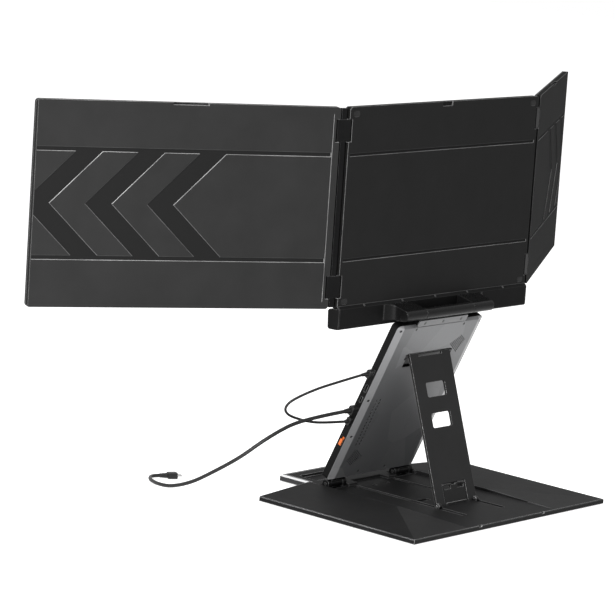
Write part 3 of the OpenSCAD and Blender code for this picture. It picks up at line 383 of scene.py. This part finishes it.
def printedBoard(name, look):            # solder mask with copper runs under it
    f = Finish(name)
    soft, edge = f.edges(0.0002)
    turned = f.node("ShaderNodeMapping", {}, {"Vector": f.place, "Rotation": (math.pi / 2, 0, 0)})
    sockets = {"Vector": turned, "Scale": 110.0, "Mortar Size": 0.03, "Color1": (0, 0, 0),
               "Color2": (0.25, 0.25, 0.25), "Mortar": (1, 1, 1)}
    runs = f.node("ShaderNodeTexBrick", {}, sockets)
    grain = f.noise(scale=600, detail=2.0)
    colour = f.mixed(runs * 0.4, look["dark"], look["light"])
    # edges painted lighter, most where they face the lamps: a painted highlight
    colour = f.mixed(edge * 0.6, colour, look["edge"])
    return f.done(Base_Color=colour, Roughness=grain.swing(0.2) + look["rough"],
                  Normal=f.bumped(runs, soft, strength=0.3, deep=0.00005))


finishes = {                             # by slot
    "black_plastic": mouldedPlastic("basePlastic", {
        "dark": (0.013, 0.013, 0.013), "light": (0.018, 0.018, 0.0185), "edge": (0.8, 0.8, 0.805),
        "rough": 0.6, "wearAndHighlight": 1.0, "spec": 0.04, "round": 0.0011, "hip": (0.026, 0.026, 0.0262),
        "outline": (0.1858, 0.1463, -0.0915)}),
    "bezel_plastic": mouldedPlastic("bezelPlastic", {
        "dark": (0.008, 0.008, 0.0085), "light": (0.012, 0.012, 0.0125), "edge": (0.05, 0.05, 0.05),
        "rough": 0.5, "spec": 0.12}),
    "cover_plastic": mouldedPlastic("coverPaint", {
        "dark": (0.16, 0.162, 0.167), "light": (0.238, 0.24, 0.246), "edge": (0.6, 0.6, 0.61),
        "sunk": (0.012, 0.012, 0.012), "facets": 16.0, "rough": 0.3, "wearAndHighlight": 0.15, "round": 0.0003,
        "bump": 0.05, "patch": 0.03, "metal": 0.15, "cloud": 8, "slotDeep": (0.00005, 0.00015),
        "slotInset": (0.004, 0.0042), "border": (0.0, 0.001)}),
    "inner_plastic": mouldedPlastic("innerPlastic", {
        "dark": (0.012, 0.012, 0.012), "light": (0.022, 0.022, 0.022), "edge": (0.05, 0.05, 0.05),
        "rough": 0.6}),
    "orange_plastic": mouldedPlastic("orangePlastic", {
        "dark": (0.72, 0.13, 0.02), "light": (0.85, 0.2, 0.035), "edge": (0.95, 0.42, 0.2),
        "rough": 0.35, "round": 0.0003, "bump": 0.1}),
    "display_glass": displayGlass("displayGlass", {
        "dark": (0.004, 0.0045, 0.006), "light": (0.008, 0.009, 0.012), "edge": (0.013, 0.013, 0.015),
        "rough": 0.32}),
    "strut_metal": paintedMetal("strutPaint", {
        "dark": (0.012, 0.012, 0.012), "light": (0.018, 0.018, 0.0185), "edge": (0.45, 0.45, 0.45),
        "rough": 0.42, "spec": 0.12, "wearAndHighlight": 1.0, "round": 0.0008}),
    "hinge_metal": paintedMetal("hingePaint", {
        "dark": (0.006, 0.006, 0.0062), "light": (0.01, 0.01, 0.0102), "edge": (0.22, 0.22, 0.225),
        "rough": 0.3, "spec": 0.05, "wearAndHighlight": 0.6, "round": 0.001}),
    "tab_metal": paintedMetal("tabPaint", {
        "dark": (0.2, 0.202, 0.206), "light": (0.26, 0.262, 0.266), "edge": (0.6, 0.6, 0.6),
        "rough": 0.34}),
    "sheet_steel": paintedMetal("sheetPaint", {
        "dark": (0.05, 0.05, 0.052), "light": (0.075, 0.075, 0.078), "edge": (0.4, 0.4, 0.4),
        "rough": 0.45}),
    "bright_steel": bareMetal("brightSteel", {
        "dark": (0.5, 0.5, 0.5), "light": (0.64, 0.64, 0.63), "edge": (0.8, 0.8, 0.8),
        "rough": 0.25}),
    "board": printedBoard("circuitBoard", {
        "dark": (0.006, 0.05, 0.022), "light": (0.03, 0.12, 0.05), "edge": (0.25, 0.2, 0.1),
        "rough": 0.35}),
    "cable_rubber": softRubber("cableSheath", {
        "dark": (0.011, 0.011, 0.011), "light": (0.03, 0.03, 0.03), "edge": (0.04, 0.04, 0.04),
        "rough": 0.4}),
    "rubber": softRubber("padRubber", {
        "dark": (0.008, 0.008, 0.008), "light": (0.02, 0.02, 0.02), "edge": (0.03, 0.03, 0.03),
        "rough": 0.7}),
}

barPlastic = mouldedPlastic("barPlastic", {
    "dark": (0.006, 0.006, 0.006), "light": (0.009, 0.009, 0.0092), "edge": (0.3, 0.3, 0.3),
    "rough": 0.5, "wearAndHighlight": 0.5, "spec": 0.04, "round": 0.001})
ownFinishes = {                          # by node, where a solid differs from the rest of its slot
    "unit_shell": mouldedPlastic("shellPlastic", {
        "dark": (0.007, 0.007, 0.007), "light": (0.01, 0.01, 0.0102), "edge": (0.2, 0.2, 0.2),
        "rough": 0.5, "wearAndHighlight": 0.8, "spec": 0.05, "round": 0.0008}),
    "chin_bar": barPlastic,
    "chin_caps": barPlastic,
    "tray_frame": paintedMetal("trayPaint", {
        "dark": (0.03, 0.03, 0.031), "light": (0.045, 0.045, 0.046), "edge": (0.92, 0.92, 0.93),
        "rough": 0.34, "wearAndHighlight": 1.0, "bare": 0.2, "even": 1.0, "round": 0.0012, "spec": 0.15,
        "bevel": (0.85, 0.85, 0.86)}),
    "latch_flap": paintedMetal("flapPaint", {
        "dark": (0.007, 0.007, 0.007), "light": (0.01, 0.01, 0.0102), "edge": (0.4, 0.4, 0.4),
        "rough": 0.4, "wearAndHighlight": 1.0, "bare": 0.3, "even": 0.9, "round": 0.0006, "spec": 0.12}),
}
# how much of the edge brightness, scuffing and painted highlight, each barrel part takes
barrelWearAndHighlight = {"yoke": 0.25, "barrel_caps": 0.0, "hinge_arm": 0.25}
for node, wearAndHighlight in barrelWearAndHighlight.items():
    ownFinishes[node] = paintedMetal(node + "Paint", {
        "dark": (0.005, 0.005, 0.005), "light": (0.008, 0.008, 0.0082), "edge": (0.2, 0.2, 0.2),
        "rough": 0.26, "wearAndHighlight": wearAndHighlight, "spec": 0.1, "round": 0.0012})
darkSteel = bareMetal("darkSteel", {
    "dark": (0.07, 0.07, 0.07), "light": (0.1, 0.1, 0.1), "edge": (0.35, 0.35, 0.35), "rough": 0.35})
for node in ("unit_screws", "tab_screws", "base_screws", "chin_screws", "base_pins", "unit_ports"):
    ownFinishes[node] = darkSteel

# painted shade: the left and centre housings get darker copies of one plastic, scaled by their level
housing = {"dark": 0.026, "light": 0.031, "sunk": 0.015,
           "level": {"right": 1.0, "left": 0.55, "centre": 0.62},
           "rough": {"right": 0.55, "left": 0.85, "centre": 0.55}}
for side, level in housing["level"].items():   # a housing's back is the largest face that looks there
    faces = [face for face in frame["nodes"][side + "_cover"].data.polygons if face.normal.y > 0.2]
    back = max(faces, key=lambda face: face.area)
    look = {key: (housing[key] * level,) * 3 for key in ("dark", "light", "sunk")}
    look.update({"edge": (0.6, 0.6, 0.6), "rough": housing["rough"][side], "wearAndHighlight": 1.0, "round": 0.0009,
                 "spec": 0.04, "back": (tuple(back.normal), back.normal.dot(back.center))})
    ownFinishes[side + "_cover"] = mouldedPlastic(side + "HousingPlastic", look)

slotOf = {part["node"]: part["material_slot"] for part in frame["record"]["subparts"]}
for node, solid in frame["nodes"].items():
    solid.data.materials.clear()
    solid.data.materials.append(ownFinishes.get(node) or finishes[slotOf[node]])
print("finishes on", len(slotOf), "solids")


def settled(piece, body, slot, *nodes):  # hands a finished piece to the frame
    if not len(piece.data.materials):
        piece.data.materials.append(finishes[slot])
    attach(piece, body)
    if nodes:
        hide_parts(*nodes)


# moulded rubber: rounded feet and corner pads

rubberRound = {"feet": 0.00035, "pads": 0.0003}

feet = softened("mouldedFeet", "base_feet", rubberRound["feet"])
settled(feet, "base", "rubber", "base_feet")
pads = softened("mouldedPads", "corner_pads", rubberRound["pads"])
settled(pads, "centre_screen", "rubber", "corner_pads")
print("rubber moulded")

# cables: the routes of the solids, in metres

lead = {"radius": 0.0023, "plugLong": 0.022, "port": 0.1035, "farTurn": 150, "steps": 3,
        "route": [(0.150, -0.046, 0.109), (0.186, -0.054, 0.102), (0.214, -0.068, 0.085),
                  (0.232, -0.092, 0.060), (0.241, -0.125, 0.036), (0.245, -0.155, 0.018),
                  (0.246, -0.185, 0.007), (0.243, -0.210, 0.004), (0.234, -0.231, 0.0036),
                  (0.221, -0.242, 0.0036), (0.209, -0.240, 0.0036)]}
jumper = {"radius": 0.0016, "highLong": 0.021, "lowLong": 0.012, "highPort": 0.1575, "lowPort": 0.087,
          "highOut": 0.0035, "steps": 4,
          "route": [(0.140, -0.026, 0.155), (0.168, -0.032, 0.149), (0.190, -0.041, 0.140),
                    (0.200, -0.049, 0.131), (0.195, -0.057, 0.120), (0.174, -0.062, 0.109),
                    (0.140, -0.056, 0.100)]}
fineSteps = 12                           # between two points of a route, where its length counts


def inPort(port, out=0):                 # the frame of a socket, or one that far out of the unit's side
    return unitFrame @ Matrix.Translation((unit["side"] + out, unit["portDeep"], unit["low"] + port))


def flowing(points, steps):              # the same smooth path that the solids follow
    path = []
    for i in range(len(points) - 1):
        a, b, c, d = points[max(i - 1, 0)], points[i], points[i + 1], points[min(i + 2, len(points) - 1)]
        for k in range(steps):
            t = k / steps
            bend = (2 * a - 5 * b + 4 * c - d) * t * t + (3 * b - a - 3 * c + d) * t ** 3
            path.append(0.5 * (2 * b + (c - a) * t + bend))
    return path + [points[-1]]


def routeLength(points):
    path = flowing(points, fineSteps)
    return sum((b - a).length for a, b in zip(path, path[1:]))


def cableCurve(name, points, radius):
    data = bpy.data.curves.new(name, "CURVE")
    data.dimensions = "3D"
    data.bevel_depth = radius
    data.bevel_resolution = 5
    data.resolution_u = 5
    data.use_fill_caps = True
    spline = data.splines.new("BEZIER")
    spline.bezier_points.add(len(points) - 1)
    for knot, point in zip(spline.bezier_points, points):
        knot.co = point
        knot.handle_left_type = knot.handle_right_type = "AUTO"
    cable = bpy.data.objects.new(name, data)
    scene.collection.objects.link(cable)
    data.materials.append(finishes["cable_rubber"])
    return cable


plugForm = {"grip": 0.5, "start": 0.04, "ribbed": 0.46,   # shares of the plug's length
            "thicker": 0.0033, "wider": 0.0078, "round": 0.36, "roundSteps": 5, "rim": 0.0006,
            "thumb": 0.0012, "press": 0.0003, "collar": 0.0009, "sides": 24, "rib": 0.0011,
            "ribHigh": 0.00035, "ribLow": -0.0001,
            "tip": (0.006, 0.0024, 0.008), "tipRound": 0.0011, "tipWall": 0.0003, "tipDeep": 0.0045}


def plugGrip(name, long, radius, out):
    thick, wide = 2 * radius + plugForm["thicker"], 2 * radius + plugForm["wider"]
    end = long * plugForm["grip"]
    grip = block(name, (end - out, thick, wide), ((end + out) / 2, 0, 0))
    pickLengthwise(grip)
    rounded(thick * plugForm["round"], plugForm["roundSteps"])
    pickFaces(grip, lambda c, n: n.x > square)
    bpy.ops.mesh.inset(thickness=plugForm["rim"], depth=plugForm["press"])
    pickFaces(grip, lambda c, n: abs(n.z) > square and abs(c.z) > wide * 0.4)
    bpy.ops.mesh.inset(thickness=plugForm["thumb"], depth=-plugForm["press"])
    return placed(grip)


def plugNeck(name, long, radius):        # ribs of the strain relief, slimmer towards the cable
    start, collar = long * plugForm["grip"], plugForm["collar"]
    neck = rod(name, radius + collar, long * plugForm["start"], (start, 0, 0), plugForm["sides"])
    steps = max(4, int(long * plugForm["ribbed"] / plugForm["rib"]))
    step = (long - start - long * plugForm["start"] / 2) / steps
    for i in range(steps):
        pickFaces(neck, lambda c, n: n.x > square)
        wanted = radius + collar * (1 - i / steps) + plugForm["ribHigh" if i % 2 else "ribLow"]
        points = [point.co for point in neck.data.vertices]
        end = max(p.x for p in points) - 1e-6
        widest = max(Vector((0, p.y, p.z)).length for p in points if p.x > end)
        bpy.ops.mesh.extrude_region_move(TRANSFORM_OT_translate={"value": (step, 0, 0)})
        bpy.ops.transform.resize(value=(1, wanted / widest, wanted / widest))
        bpy.ops.object.mode_set(mode="OBJECT")
        bpy.ops.object.mode_set(mode="EDIT")
    return placed(neck, smooth=50)


def plugTip(name, out):                  # a hollow steel shell
    long, thick, wide = plugForm["tip"]
    tip = block(name, (long + out, thick, wide), ((out - long) / 2, 0, 0))
    pickLengthwise(tip)
    rounded(plugForm["tipRound"], plugForm["roundSteps"])
    pickFaces(tip, lambda c, n: n.x < -square)
    bpy.ops.mesh.inset(thickness=plugForm["tipWall"], depth=0)
    bpy.ops.mesh.extrude_region_move(TRANSFORM_OT_translate={"value": (plugForm["tipDeep"], 0, 0)})
    return placed(tip)


def plug(name, long, radius, out=0):     # lies along +X from the socket's face, broad side along Z
    grip = plugGrip(name, long, radius, out)
    neck = plugNeck(name + "Neck", long, radius)
    tip = plugTip(name + "Tip", out)
    for part, slot in ((grip, "cable_rubber"), (neck, "cable_rubber"), (tip, "bright_steel")):
        part.data.materials.append(finishes[slot])
    return joined(name, [grip, neck, tip])


def plugged(piece, port):                # moves a finished plug or tongue into its socket
    return placed(piece, inPort(port), smooth=None)


highStart = inPort(jumper["highPort"], jumper["highLong"]).translation
lowEnd = inPort(jumper["lowPort"], jumper["lowLong"]).translation
leadStart = inPort(lead["port"], lead["plugLong"]).translation
leadRoute = [leadStart] + [Vector(p) for p in lead["route"]]
jumperRoute = [highStart] + [Vector(p) for p in jumper["route"]] + [lowEnd]

mainCable = cableCurve("mainLead", flowing(leadRoute, lead["steps"]), lead["radius"])
chosen(mainCable)
bpy.ops.object.convert(target="MESH")
placed(mainCable, smooth=60)
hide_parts("main_cable")
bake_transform(mainCable)
jumperCable = cableCurve("jumperLead", flowing(jumperRoute, jumper["steps"]), jumper["radius"])
settled(jumperCable, "unit", "cable_rubber", "jumper_cable")

mainPlug = plugged(plug("leadPlug", lead["plugLong"], lead["radius"]), lead["port"])
settled(mainPlug, "unit", "cable_rubber", "main_plug")
farPlug = plug("leadFarPlug", lead["plugLong"], lead["radius"])
farPlug.data.transform(Matrix.Rotation(math.pi, 4, "Y") @ Matrix.Rotation(math.pi / 2, 4, "X"))
farTurn = Matrix.Rotation(math.radians(lead["farTurn"]), 4, "Z")
farPlace = Matrix.Translation(leadRoute[-1]) @ farTurn @ Matrix.Translation((lead["plugLong"], 0, 0))
placed(farPlug, farPlace, smooth=None)
settled(farPlug, "base", "cable_rubber", "main_far_plug")
highPlug = plug("jumperHigh", jumper["highLong"], jumper["radius"], jumper["highOut"])
lowPlug = plug("jumperLow", jumper["lowLong"], jumper["radius"])
plugged(highPlug, jumper["highPort"])
plugged(lowPlug, jumper["lowPort"])
jumperPlugs = joined("jumperPlugs", [highPlug, lowPlug])
settled(jumperPlugs, "unit", "cable_rubber", "jumper_plugs")

round(routeLength(leadRoute), 4)
[tuple(p) for p in flowing(leadRoute, fineSteps)]
round(routeLength(jumperRoute), 4)
print("cables laid:", round(routeLength(leadRoute), 3), "m and", round(routeLength(jumperRoute), 3), "m")

# tongues in the sockets: each socket's place up the unit and its tongue's width

tongueForm = {"long": 0.0046, "thick": 0.0007, "middle": -0.0039, "rim": 0.00015, "nose": 0.0002,
              "sockets": ((jumper["lowPort"], 0.0064), (lead["port"], 0.0064), (0.1185, 0.0064),
                          (0.1345, 0.0108), (jumper["highPort"], 0.0064))}

tongues = []
for port, wide in tongueForm["sockets"]:
    tongue = block("tongue", (tongueForm["long"], tongueForm["thick"], wide), (tongueForm["middle"], 0, 0))
    pickFaces(tongue, lambda c, n: n.x > square)
    bpy.ops.mesh.inset(thickness=tongueForm["rim"], depth=tongueForm["nose"])
    tongues.append(plugged(tongue, port))
settled(joined("portTongues", tongues), "unit", "inner_plastic")
print("tongues set")

# stage: white floor that keeps the shadow, level light

stage = {"floorSize": 12.0, "floorDrop": 0.0005, "floorGrey": 0.9, "floorRough": 0.9, "floorLift": 0.75,
         "worldLevel": 0.36, "aim": (0.05, 0, 0.25)}


def seenDirectly(tree):                  # 1 for rays of the camera, of reflections and through glass
    rays = tree.nodes.new("ShaderNodeLightPath").outputs
    flag = rays["Is Camera Ray"]
    for ray in ("Is Glossy Ray", "Is Transmission Ray"):
        most = tree.nodes.new("ShaderNodeMath")
        most.operation = "MAXIMUM"
        tree.links.new(flag, most.inputs[0])
        tree.links.new(rays[ray], most.inputs[1])
        flag = most.outputs[0]
    return flag


def levelFor(tree, low, high, socket):   # low for other rays, high for those seen directly
    level = tree.nodes.new("ShaderNodeMapRange")
    tree.links.new(seenDirectly(tree), level.inputs["Value"])
    level.inputs["To Min"].default_value = low
    level.inputs["To Max"].default_value = high
    tree.links.new(level.outputs[0], socket)


floorFinish = bpy.data.materials.new("floorPaper")
floorFinish.use_nodes = True
tree = floorFinish.node_tree
shader = tree.nodes["Principled BSDF"]
shader.inputs["Base Color"].default_value = (*(stage["floorGrey"],) * 3, 1)
shader.inputs["Roughness"].default_value = stage["floorRough"]
glow, both = tree.nodes.new("ShaderNodeEmission"), tree.nodes.new("ShaderNodeAddShader")
levelFor(tree, 0.0, stage["floorLift"], glow.inputs["Strength"])
tree.links.new(shader.outputs[0], both.inputs[0])
tree.links.new(glow.outputs[0], both.inputs[1])
tree.links.new(both.outputs[0], tree.nodes["Material Output"].inputs["Surface"])
clearSelection()
bpy.ops.mesh.primitive_plane_add(size=stage["floorSize"], location=(0, 0, -stage["floorDrop"]))
floor = bpy.context.object
floor.name = "floor"
floor.data.materials.append(floorFinish)

world = bpy.data.worlds.new("softRoom")
scene.world = world
world.use_nodes = True
sky = world.node_tree.nodes["Background"]
sky.inputs["Color"].default_value = (1, 1, 1, 1)
levelFor(world.node_tree, stage["worldLevel"], 1.0, sky.inputs["Strength"])

lamps = {"sideLamp": {"place": (1.9, 0.45, 0.6), "size": (0.7, 0.8), "power": 30},
         "topLamp": {"place": (0.5, 0.3, 2.5), "size": (1.2, 0.9), "power": 26}}

for name, form in lamps.items():
    lamp = bpy.data.objects.new(name, bpy.data.lights.new(name, "AREA"))
    scene.collection.objects.link(lamp)
    lamp.data.shape = "RECTANGLE"
    lamp.data.size, lamp.data.size_y = form["size"]
    lamp.data.energy = form["power"]
    aim = (Vector(form["place"]) - Vector(stage["aim"])).to_track_quat("Z", "Y").to_matrix().to_4x4()
    lamp.matrix_world = Matrix.Translation(form["place"]) @ aim
print("stage and lamps set")
